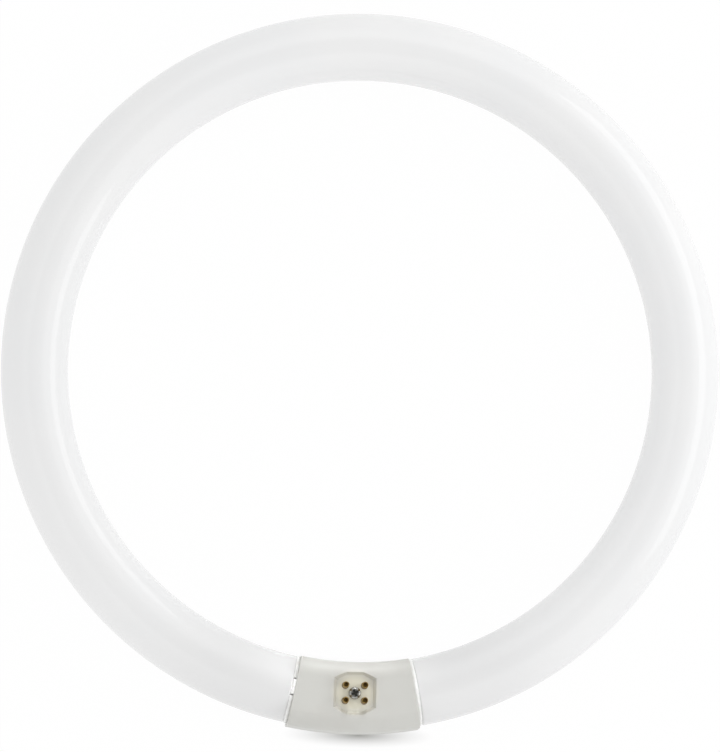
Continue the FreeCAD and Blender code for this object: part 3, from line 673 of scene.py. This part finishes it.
def glass_tube_tree():
    """Geometry tree that sweeps a circle along an arc, necks it, rounds its ends and welds on the stems."""
    tree, given, made = add_tree("GeometryNodeTree", "Bent Glass Tube", {
        "Geometry": ["Stems"],
        "Float": [
            "Ring Radius", "Tube Radius", "Gap Angle", "End Round", "Neck Radius", "Neck Reach", "Neck Round",
            "Mid Height", "Crowding"],
        "Int": ["Path Steps", "Section Steps"],
        "Material": ["Material"],
    }, {"Geometry": ["Geometry"]})
    start = calculate(tree, "SUBTRACT", given["Gap Angle"], QUARTER_TURN)
    sweep = calculate(tree, "MULTIPLY_ADD", given["Gap Angle"], -2.0, FULL_TURN)
    arc = add_node(tree, "GeometryNodeCurveArc", {
        "Resolution": given["Path Steps"], "Radius": given["Ring Radius"],
        "Start Angle": start, "Sweep Angle": sweep}, mode="RADIUS")

    # Sections stand closer together near the two ends
    factor = tree.nodes.new("GeometryNodeSplineParameter").outputs["Factor"]
    wave = calculate(tree, "SINE", calculate(tree, "MULTIPLY", factor, FULL_TURN))
    pull = calculate(tree, "MULTIPLY", given["Crowding"], -1 / FULL_TURN)
    share = calculate(tree, "MULTIPLY_ADD", wave, pull, factor)
    angle = calculate(tree, "MULTIPLY_ADD", share, sweep, start)
    length = calculate(tree, "MULTIPLY", given["Ring Radius"], sweep)
    nearer = calculate(tree, "MINIMUM", share, calculate(tree, "SUBTRACT", 1.0, share))
    marked = add_node(tree, "GeometryNodeStoreNamedAttribute", {
        "Geometry": arc.outputs["Curve"], "Name": "from_end",
        "Value": calculate(tree, "MULTIPLY", nearer, length)}, data_type="FLOAT", domain="POINT")
    place = vector(
        tree, X=calculate(tree, "MULTIPLY", given["Ring Radius"], calculate(tree, "COSINE", angle)),
        Y=calculate(tree, "MULTIPLY", given["Ring Radius"], calculate(tree, "SINE", angle)))
    crowded = add_node(tree, "GeometryNodeSetPosition", {
        "Geometry": marked.outputs["Geometry"], "Position": place})

    # Radius from the distance to the nearer end: rounded end, neck, rounded shoulder, full tube
    stored = add_node(tree, "GeometryNodeInputNamedAttribute", {"Name": "from_end"}, data_type="FLOAT")
    from_end = stored.outputs["Attribute"]
    end_drop = rounding_drop(tree, from_end, given["End Round"])
    past_neck = calculate(tree, "SUBTRACT", from_end, given["Neck Reach"])
    full = calculate(
        tree, "SUBTRACT", given["Tube Radius"], rounding_drop(tree, past_neck, given["Neck Round"]))
    on_neck = calculate(tree, "LESS_THAN", past_neck, 0.0)
    radius = mix(tree, on_neck, full, given["Neck Radius"], kind="FLOAT")
    section = add_node(tree, "GeometryNodeCurvePrimitiveCircle", {
        "Resolution": given["Section Steps"], "Radius": 1.0}, mode="RADIUS")
    tube = add_node(tree, "GeometryNodeCurveToMesh", {
        "Curve": crowded.outputs["Geometry"], "Profile Curve": section.outputs["Curve"],
        "Scale": calculate(tree, "SUBTRACT", radius, end_drop)})
    raised = add_node(tree, "GeometryNodeTransform", {
        "Geometry": tube.outputs["Mesh"], "Translation": vector(tree, Z=given["Mid Height"])})
    joined = tree.nodes.new("GeometryNodeJoinGeometry")
    tree.links.new(given["Stems"], joined.inputs["Geometry"])
    tree.links.new(raised.outputs["Geometry"], joined.inputs["Geometry"])
    welded = add_node(tree, "GeometryNodeMergeByDistance", {
        "Geometry": joined.outputs["Geometry"], "Distance": STEM_WELD})
    smooth = add_node(tree, "GeometryNodeSetShadeSmooth", {"Geometry": welded.outputs["Geometry"]})
    finish_tree(tree, smooth.outputs["Geometry"], given["Material"], made["Geometry"])
    return tree


def stem_mesh(settings, gap_angle):
    """The two glass stems: rim, flare, pinch and exhaust tip, turned and set in the tube's ends."""
    outline = (
        (settings.neck_radius - settings.end_round, 0.0),
        (settings.flare_mouth, 0.0),
        (settings.press_radius, -settings.flare_depth),
        (settings.exhaust_radius, -settings.flare_depth),
        (settings.exhaust_radius, settings.exhaust_reach - settings.exhaust_taper),
        (settings.exhaust_tip, settings.exhaust_reach),
        (0.0, settings.exhaust_reach),
    )
    stems = bpy.data.meshes.new("stems")
    both = bmesh.new()
    for side in (1, -1):
        single = turned_mesh("stem", outline, settings.section_steps)
        tilt = Matrix.Rotation(-side * QUARTER_TURN, 4, "Y")
        out = Matrix.Translation((0.0, -RING_RADIUS, MID_HEIGHT))
        turn = Matrix.Rotation(side * gap_angle, 4, "Z")
        single.transform(turn @ out @ tilt)
        both.from_mesh(single)
        bpy.data.meshes.remove(single)
    both.to_mesh(stems)
    both.free()
    return stems


class RINGLAMP_OT_glass_tube(Operator):
    """Make the bent glass tube with its stems"""

    bl_idname = "ring_lamp.glass_tube"
    bl_label = "Glass Tube"

    def execute(self, context):
        settings = context.scene.ring_lamp_glass
        gap_angle = math.asin(settings.half_gap / RING_RADIUS)
        piece = bake_nodes("glass_ring", stem_mesh(settings, gap_angle), glass_tube_tree(), {
            "Ring Radius": RING_RADIUS, "Tube Radius": TUBE_RADIUS, "Gap Angle": gap_angle,
            "End Round": settings.end_round, "Neck Radius": settings.neck_radius,
            "Neck Reach": RING_RADIUS * (CAP_HALF_ANGLE - gap_angle) + settings.neck_lead,
            "Neck Round": settings.neck_round, "Mid Height": MID_HEIGHT, "Path Steps": settings.path_steps,
            "Crowding": settings.crowding, "Section Steps": settings.section_steps,
            "Material": coated_glass(settings)})
        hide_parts("glass_tube")
        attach(piece, BODY)
        return {"FINISHED"}


class RINGLAMP_OT_cap(Operator):
    """Finish the two halves of the base cap"""

    bl_idname = "ring_lamp.cap"
    bl_label = "Base Cap"

    def execute(self, context):
        material = cap_plastic(context.scene.ring_lamp_cap)
        for node in ("front_shell", "rear_shell"):
            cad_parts[node].data.materials[0] = material
        return {"FINISHED"}


def pin_mesh(settings):
    """One hollow pin at its real height: bored tip, shank, flange and bored tail, its bore's depth marked."""
    seat = PIN_TIP - settings.pin_length
    flange_top = seat - settings.shank_length
    flange_low = flange_top - settings.flange_thickness
    tail_floor = PIN_TAIL + settings.tail_bore_depth
    lip = settings.bore_lip
    bore_floor = PIN_TIP - settings.bore_depth
    outline = [
        (0.0, bore_floor),
        (settings.bore_radius - lip, bore_floor),
        (settings.bore_radius, bore_floor + lip),
        (settings.bore_radius, PIN_TIP - lip),
        (settings.bore_radius + lip / 3, PIN_TIP - lip / 3),
        (settings.bore_radius + lip, PIN_TIP),
    ]
    for step in range(TIP_STEPS + 1):
        angle = QUARTER_TURN * (1.0 - step / TIP_STEPS)
        outline.append((
            settings.pin_radius - settings.tip_round * (1.0 - math.cos(angle)),
            PIN_TIP - settings.tip_round * (1.0 - math.sin(angle)),
        ))
    outline += [
        (settings.pin_radius, seat),
        (settings.shank_radius, seat),
        (settings.shank_radius, flange_top),
        (FLANGE_RADIUS, flange_top),
        (FLANGE_RADIUS, flange_low),
        (settings.tail_radius, flange_low),
        (settings.tail_radius, PIN_TAIL),
        (settings.tail_bore_radius, PIN_TAIL),
        (settings.tail_bore_radius, tail_floor),
        (0.0, tail_floor),
    ]
    mesh = turned_mesh("pin", outline, settings.steps)
    mesh.shade_smooth()
    mesh.set_sharp_from_angle(angle=SHARP_ANGLE)
    depth = mesh.attributes.new("bore_depth", "FLOAT", "POINT")
    for vertex, item in zip(mesh.vertices, depth.data):
        in_bore = vertex.co.xy.length < settings.bore_radius + lip / 2 and vertex.co.z > seat
        item.value = PIN_TIP - vertex.co.z if in_bore else 0.0
    return mesh


def pin_pattern_tree():
    """Geometry tree that repeats one pin at the corners of a rectangle."""
    tree, given, made = add_tree("GeometryNodeTree", "Pin Pattern", {
        "Geometry": ["Pin"], "Float": ["Spacing X", "Spacing Y"], "Vector": ["Centre"],
        "Material": ["Material"],
    }, {"Geometry": ["Geometry"]})
    corners = add_node(tree, "GeometryNodeMeshGrid", {
        "Size X": given["Spacing X"], "Size Y": given["Spacing Y"], "Vertices X": 2, "Vertices Y": 2})
    pins = add_node(tree, "GeometryNodeInstanceOnPoints", {
        "Points": corners.outputs["Mesh"], "Instance": given["Pin"]})
    moved = add_node(tree, "GeometryNodeTransform", {
        "Geometry": pins.outputs["Instances"], "Translation": given["Centre"]})
    finish_tree(tree, moved.outputs["Geometry"], given["Material"], made["Geometry"])
    return tree


class RINGLAMP_OT_pins(Operator):
    """Make the hollow contact pins in their rectangle"""

    bl_idname = "ring_lamp.pins"
    bl_label = "Contact Pins"

    def execute(self, context):
        settings = context.scene.ring_lamp_pins
        centre = sum(PIN_CENTRES, Vector()) / len(PIN_CENTRES)
        piece = bake_nodes("contact_pins", pin_mesh(settings), pin_pattern_tree(), {
            "Spacing X": PIN_SPACING.x, "Spacing Y": PIN_SPACING.y, "Centre": (centre.x, centre.y, 0.0),
            "Material": pin_brass(settings)})
        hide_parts(*PIN_NODES)
        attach(piece, BODY)
        return {"FINISHED"}


class RINGLAMP_OT_screw(Operator):
    """Finish the clamp screw"""

    bl_idname = "ring_lamp.screw"
    bl_label = "Clamp Screw"

    def execute(self, context):
        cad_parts["clamp_screw"].data.materials[0] = screw_steel(context.scene.ring_lamp_screw)
        return {"FINISHED"}


class RINGLAMP_OT_wires(Operator):
    """Finish the lead wires inside the cap"""

    bl_idname = "ring_lamp.wires"
    bl_label = "Lead Wires"

    def execute(self, context):
        material = lead_metal(context.scene.ring_lamp_wires)
        for node in WIRE_NODES:
            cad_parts[node].data.materials[0] = material
        return {"FINISHED"}


def sealant_tree():
    """Geometry tree of a bead laid round the tube: uneven along its length, with two short breaks."""
    tree, given, made = add_tree("GeometryNodeTree", "Sealant Bead", {
        "Geometry": ["Source"],
        "Float": [
            "Path Radius", "Thickness", "Lumps", "Lump Size", "Seed", "Break Depth", "First Break",
            "Second Break", "Break Width", "Standing Out", "Turn", "Ring Radius", "Mid Height"],
        "Int": ["Steps"],
        "Material": ["Material"],
    }, {"Geometry": ["Geometry"]})
    path = add_node(tree, "GeometryNodeCurvePrimitiveCircle", {
        "Resolution": given["Steps"], "Radius": given["Path Radius"]}, mode="RADIUS")
    place = tree.nodes.new("GeometryNodeInputPosition").outputs["Position"]
    axes = axes_of(tree, place)
    around = calculate(tree, "ARCTAN2", axes["X"], axes["Y"])
    noise = add_node(tree, "ShaderNodeTexNoise", {
        "Vector": place, "W": given["Seed"], "Scale": calculate(tree, "DIVIDE", 1.0, given["Lump Size"]),
        "Detail": 2.0, "Roughness": 0.6}, noise_dimensions="4D")
    uneven = calculate(
        tree, "MULTIPLY", calculate(tree, "SUBTRACT", noise.outputs["Fac"], 0.5), given["Lumps"])
    breaks = []
    for name in ("First Break", "Second Break"):
        away = calculate(tree, "ABSOLUTE", calculate(tree, "SUBTRACT", around, given[name]))
        breaks.append(ramp(tree, away, 0.0, given["Break Width"]))
    broken = calculate(tree, "MULTIPLY", calculate(tree, "MAXIMUM", *breaks), given["Break Depth"])
    share = calculate(tree, "SUBTRACT", calculate(tree, "MULTIPLY_ADD", uneven, 2.0, 1.0), broken)
    wander = calculate(tree, "MULTIPLY_ADD", uneven, given["Standing Out"], given["Standing Out"])
    laid = add_node(tree, "GeometryNodeSetPosition", {
        "Geometry": path.outputs["Curve"], "Offset": vector(tree, Z=wander)})
    marked = add_node(tree, "GeometryNodeStoreNamedAttribute", {
        "Geometry": laid.outputs["Geometry"], "Name": "broken", "Value": broken},
        data_type="FLOAT", domain="POINT")
    section = add_node(tree, "GeometryNodeCurvePrimitiveCircle", {
        "Resolution": BEAD_SECTION_STEPS, "Radius": 1.0}, mode="RADIUS")
    bead = add_node(tree, "GeometryNodeCurveToMesh", {
        "Curve": marked.outputs["Geometry"], "Profile Curve": section.outputs["Curve"],
        "Scale": calculate(tree, "MULTIPLY", share, given["Thickness"])})
    centre = vector(
        tree, Y=calculate(tree, "MULTIPLY", given["Ring Radius"], -1.0), Z=given["Mid Height"])
    upright = add_node(tree, "GeometryNodeTransform", {
        "Geometry": bead.outputs["Mesh"], "Translation": centre,
        "Rotation": (QUARTER_TURN, 0.0, -QUARTER_TURN)})
    turned = add_node(tree, "GeometryNodeTransform", {
        "Geometry": upright.outputs["Geometry"], "Rotation": vector(tree, Z=given["Turn"])})
    smooth = add_node(tree, "GeometryNodeSetShadeSmooth", {"Geometry": turned.outputs["Geometry"]})
    finish_tree(tree, smooth.outputs["Geometry"], given["Material"], made["Geometry"])
    return tree


class RINGLAMP_OT_sealant(Operator):
    """Make the sealant beads at the cap's mouths"""

    bl_idname = "ring_lamp.sealant"
    bl_label = "Sealant Beads"

    def execute(self, context):
        settings = context.scene.ring_lamp_sealant
        material = sealant_white(settings)
        tree = sealant_tree()
        beads = (
            ("left", -1, settings.left_lumps, settings.notch_depth),
            ("right", 1, settings.right_lumps, 0.0),
        )
        for name, side, lumps, break_depth in beads:
            piece = bake_nodes(f"sealant_bead_{name}", bpy.data.meshes.new(name), tree, {
                "Path Radius": TUBE_RADIUS + settings.height - settings.thickness,
                "Thickness": settings.thickness, "Lumps": lumps, "Lump Size": settings.lump_size,
                "Seed": BEAD_SEED + side, "Break Depth": break_depth, "First Break": settings.first_notch,
                "Second Break": settings.second_notch, "Break Width": settings.notch_width,
                "Standing Out": -side * settings.standing_out, "Turn": side * CAP_HALF_ANGLE,
                "Ring Radius": RING_RADIUS, "Mid Height": MID_HEIGHT, "Steps": settings.steps,
                "Material": material})
            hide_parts(f"sealant_{name}")
            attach(piece, BODY)
        return {"FINISHED"}


def add_camera(settings):
    """Camera over the lamp, at the photograph's view."""
    turns = ((-settings.roll, "Z"), (-settings.pitch, "X"), (-settings.yaw, "Y"))
    roll, pitch, yaw = (Matrix.Rotation(angle, 3, axis) for angle, axis in turns)
    from_camera = (roll @ pitch @ yaw).transposed()
    data = bpy.data.cameras.new("camera")
    data.sensor_width = SENSOR_WIDTH
    data.lens = settings.focal * SENSOR_WIDTH / PHOTO_HEIGHT
    data.clip_end = VIEW_REACH
    camera = new_piece("camera", data)
    across, up = settings.ring_offset
    place = from_camera @ Vector((-across, -up, settings.distance)) + Vector((0.0, 0.0, MID_HEIGHT))
    camera.matrix_world = Matrix.Translation(place) @ from_camera.to_4x4()
    bpy.context.scene.camera = camera


def floor_white(settings):
    """Matt white floor that keeps a soft shadow, most of it below the cap where a painted contact shadow
    darkens its colour, and can't be seen from below.
    """
    material = bpy.data.materials.new("studio_floor")
    material.use_nodes = True
    tree = material.node_tree
    tree.nodes.clear()
    glow = add_node(tree, "ShaderNodeEmission", {"Color": WHITE, "Strength": 1.0})
    under = add_node(tree, "ShaderNodeMapping", {
        "Vector": object_place(tree), "Location": SHADOW_CENTRE, "Scale": SHADOW_REACH},
        vector_type="TEXTURE")
    away = distance_from(tree, under.outputs["Vector"], (0.0, 0.0, 0.0))
    # Painted contact shadow: the floor's colour darkens towards the cap's contact
    painted_contact_shadow = mix(tree, away, colour(settings.painted_contact_shadow_colour), colour(settings.floor_colour))
    matt = add_node(tree, "ShaderNodeBsdfDiffuse", {"Color": painted_contact_shadow})
    share = ramp(tree, away, 0.0, 1.0, low=settings.shadow_glow, high=settings.floor_glow, curve="LINEAR")
    path = tree.nodes.new("ShaderNodeLightPath").outputs
    mirrored = calculate(tree, "MAXIMUM", path["Is Glossy Ray"], path["Is Transmission Ray"])
    seen = calculate(tree, "MAXIMUM", path["Is Camera Ray"], mirrored)
    top = add_node(tree, "ShaderNodeMixShader", {
        0: calculate(tree, "MULTIPLY", seen, share), 1: matt.outputs["BSDF"], 2: glow.outputs["Emission"]})
    clear = tree.nodes.new("ShaderNodeBsdfTransparent")
    back = tree.nodes.new("ShaderNodeNewGeometry").outputs["Backfacing"]
    both = add_node(tree, "ShaderNodeMixShader", {
        0: back, 1: top.outputs["Shader"], 2: clear.outputs["BSDF"]})
    add_node(tree, "ShaderNodeOutputMaterial", {"Surface": both.outputs["Shader"]})
    return material


def add_floor(settings):
    """Large floor that the lamp's cap and the far side of its tube rest on."""
    tilt = math.atan2(GLASS_LOW.z, 2 * RING_RADIUS)
    mesh = bpy.data.meshes.new("floor")
    corners = [(x * FLOOR_REACH, y * FLOOR_REACH, 0.0) for x, y in ((-1, -1), (1, -1), (1, 1), (-1, 1))]
    mesh.from_pydata(corners, [], [range(len(corners))])
    mesh.transform(Matrix.Translation((0.0, -RING_RADIUS, REAR_LOW.z)) @ Matrix.Rotation(tilt, 4, "X"))
    mesh.materials.append(floor_white(settings))
    floor = new_piece("floor", mesh)


def add_sky(settings):
    """White tent round the lamp, seen white, with a dim opening overhead that only reflections show."""
    world = bpy.data.worlds.new("white_tent")
    world.use_nodes = True
    tree = world.node_tree
    upward = axes_of(tree, tree.nodes.new("ShaderNodeTexCoord").outputs["Generated"])["Z"]
    opening = ramp(tree, upward, math.cos(OPENING_RIM), math.cos(OPENING_MIDDLE), high=settings.lens_gap)
    path = tree.nodes.new("ShaderNodeLightPath").outputs
    mirrored = mix(tree, path["Is Glossy Ray"], settings.sky, opening, kind="FLOAT")
    seen = calculate(tree, "MAXIMUM", path["Is Camera Ray"], path["Is Transmission Ray"])
    set_inputs(tree, tree.nodes["Background"], {
        "Color": WHITE, "Strength": mix(tree, seen, mirrored, 1.0, kind="FLOAT")})
    bpy.context.scene.world = world


def aim_light(name, data, aim, direction, distance):
    """Put a light at a distance from a point, facing it."""
    lamp = new_piece(name, data)
    away = Vector(direction).normalized()
    facing = away.to_track_quat("Z", "Y").to_matrix().to_4x4()
    lamp.matrix_world = Matrix.Translation(aim + away * distance) @ facing
    return lamp


def add_softbox(name, settings, direction, size, power):
    """Rectangular softbox that faces the middle of the ring."""
    data = bpy.data.lights.new(name, "AREA")
    data.shape = "RECTANGLE"
    data.size, data.size_y = size
    data.energy = power
    return aim_light(name, data, Vector(), direction, settings.softbox_distance)


def add_spot(name, settings, aim, direction, power, cone):
    """Narrow soft spot on the front of the cap."""
    data = bpy.data.lights.new(name, "SPOT")
    data.energy = power
    data.spot_size = cone
    data.spot_blend = 1.0
    data.shadow_soft_size = settings.spot_softness
    place = Vector((aim[0], aim[1] - RING_RADIUS, FRONT_HIGH.z))
    return aim_light(name, data, place, direction, settings.spot_distance)


class RINGLAMP_OT_stage(Operator):
    """Set up the floor, the lights and the camera"""

    bl_idname = "ring_lamp.stage"
    bl_label = "White Studio"

    def execute(self, context):
        settings = context.scene.ring_lamp_stage
        add_camera(settings)
        add_floor(settings)
        add_sky(settings)
        add_softbox(
            "side_softbox", settings, settings.side_direction, settings.side_size, settings.side_power)
        add_softbox(
            "far_softbox", settings, settings.far_direction, settings.far_size, settings.far_power)
        fill = add_softbox(
            "fill_light", settings, settings.fill_direction, settings.fill_size, settings.fill_power)
        fill.visible_glossy = False
        add_spot(
            "cap_spot", settings, settings.cap_aim, settings.cap_direction, settings.cap_power,
            settings.cap_cone)
        add_spot(
            "seat_spot", settings, settings.seat_aim, settings.seat_direction, settings.seat_power,
            settings.seat_cone)
        context.scene.view_settings.view_transform = "Standard"
        return {"FINISHED"}


OPERATORS = (
    RINGLAMP_OT_glass_tube,
    RINGLAMP_OT_cap,
    RINGLAMP_OT_pins,
    RINGLAMP_OT_screw,
    RINGLAMP_OT_wires,
    RINGLAMP_OT_sealant,
    RINGLAMP_OT_stage,
)


class RINGLAMP_PT_builder(Panel):
    """Lists the steps that finish the lamp"""

    bl_label = "Ring Lamp"
    bl_space_type = "VIEW_3D"
    bl_region_type = "UI"
    bl_category = "Ring Lamp"

    def draw(self, context):
        for operator in OPERATORS:
            self.layout.operator(operator.bl_idname)


CLASSES = (*SETTINGS.values(), *OPERATORS, RINGLAMP_PT_builder)


def register():
    """Register the classes and hang the settings on the scene."""
    for item in CLASSES:
        bpy.utils.register_class(item)
    for name, group in SETTINGS.items():
        setattr(bpy.types.Scene, name, PointerProperty(type=group))


def unregister():
    """Take the settings and the classes away again."""
    for name in SETTINGS:
        delattr(bpy.types.Scene, name)
    for item in reversed(CLASSES):
        bpy.utils.unregister_class(item)


def main():
    """Run every step in order."""
    register()
    bpy.ops.ring_lamp.glass_tube()
    bpy.ops.ring_lamp.cap()
    bpy.ops.ring_lamp.pins()
    bpy.ops.ring_lamp.screw()
    bpy.ops.ring_lamp.wires()
    bpy.ops.ring_lamp.sealant()
    bpy.ops.ring_lamp.stage()
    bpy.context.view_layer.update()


if __name__ == "__main__":
    main()
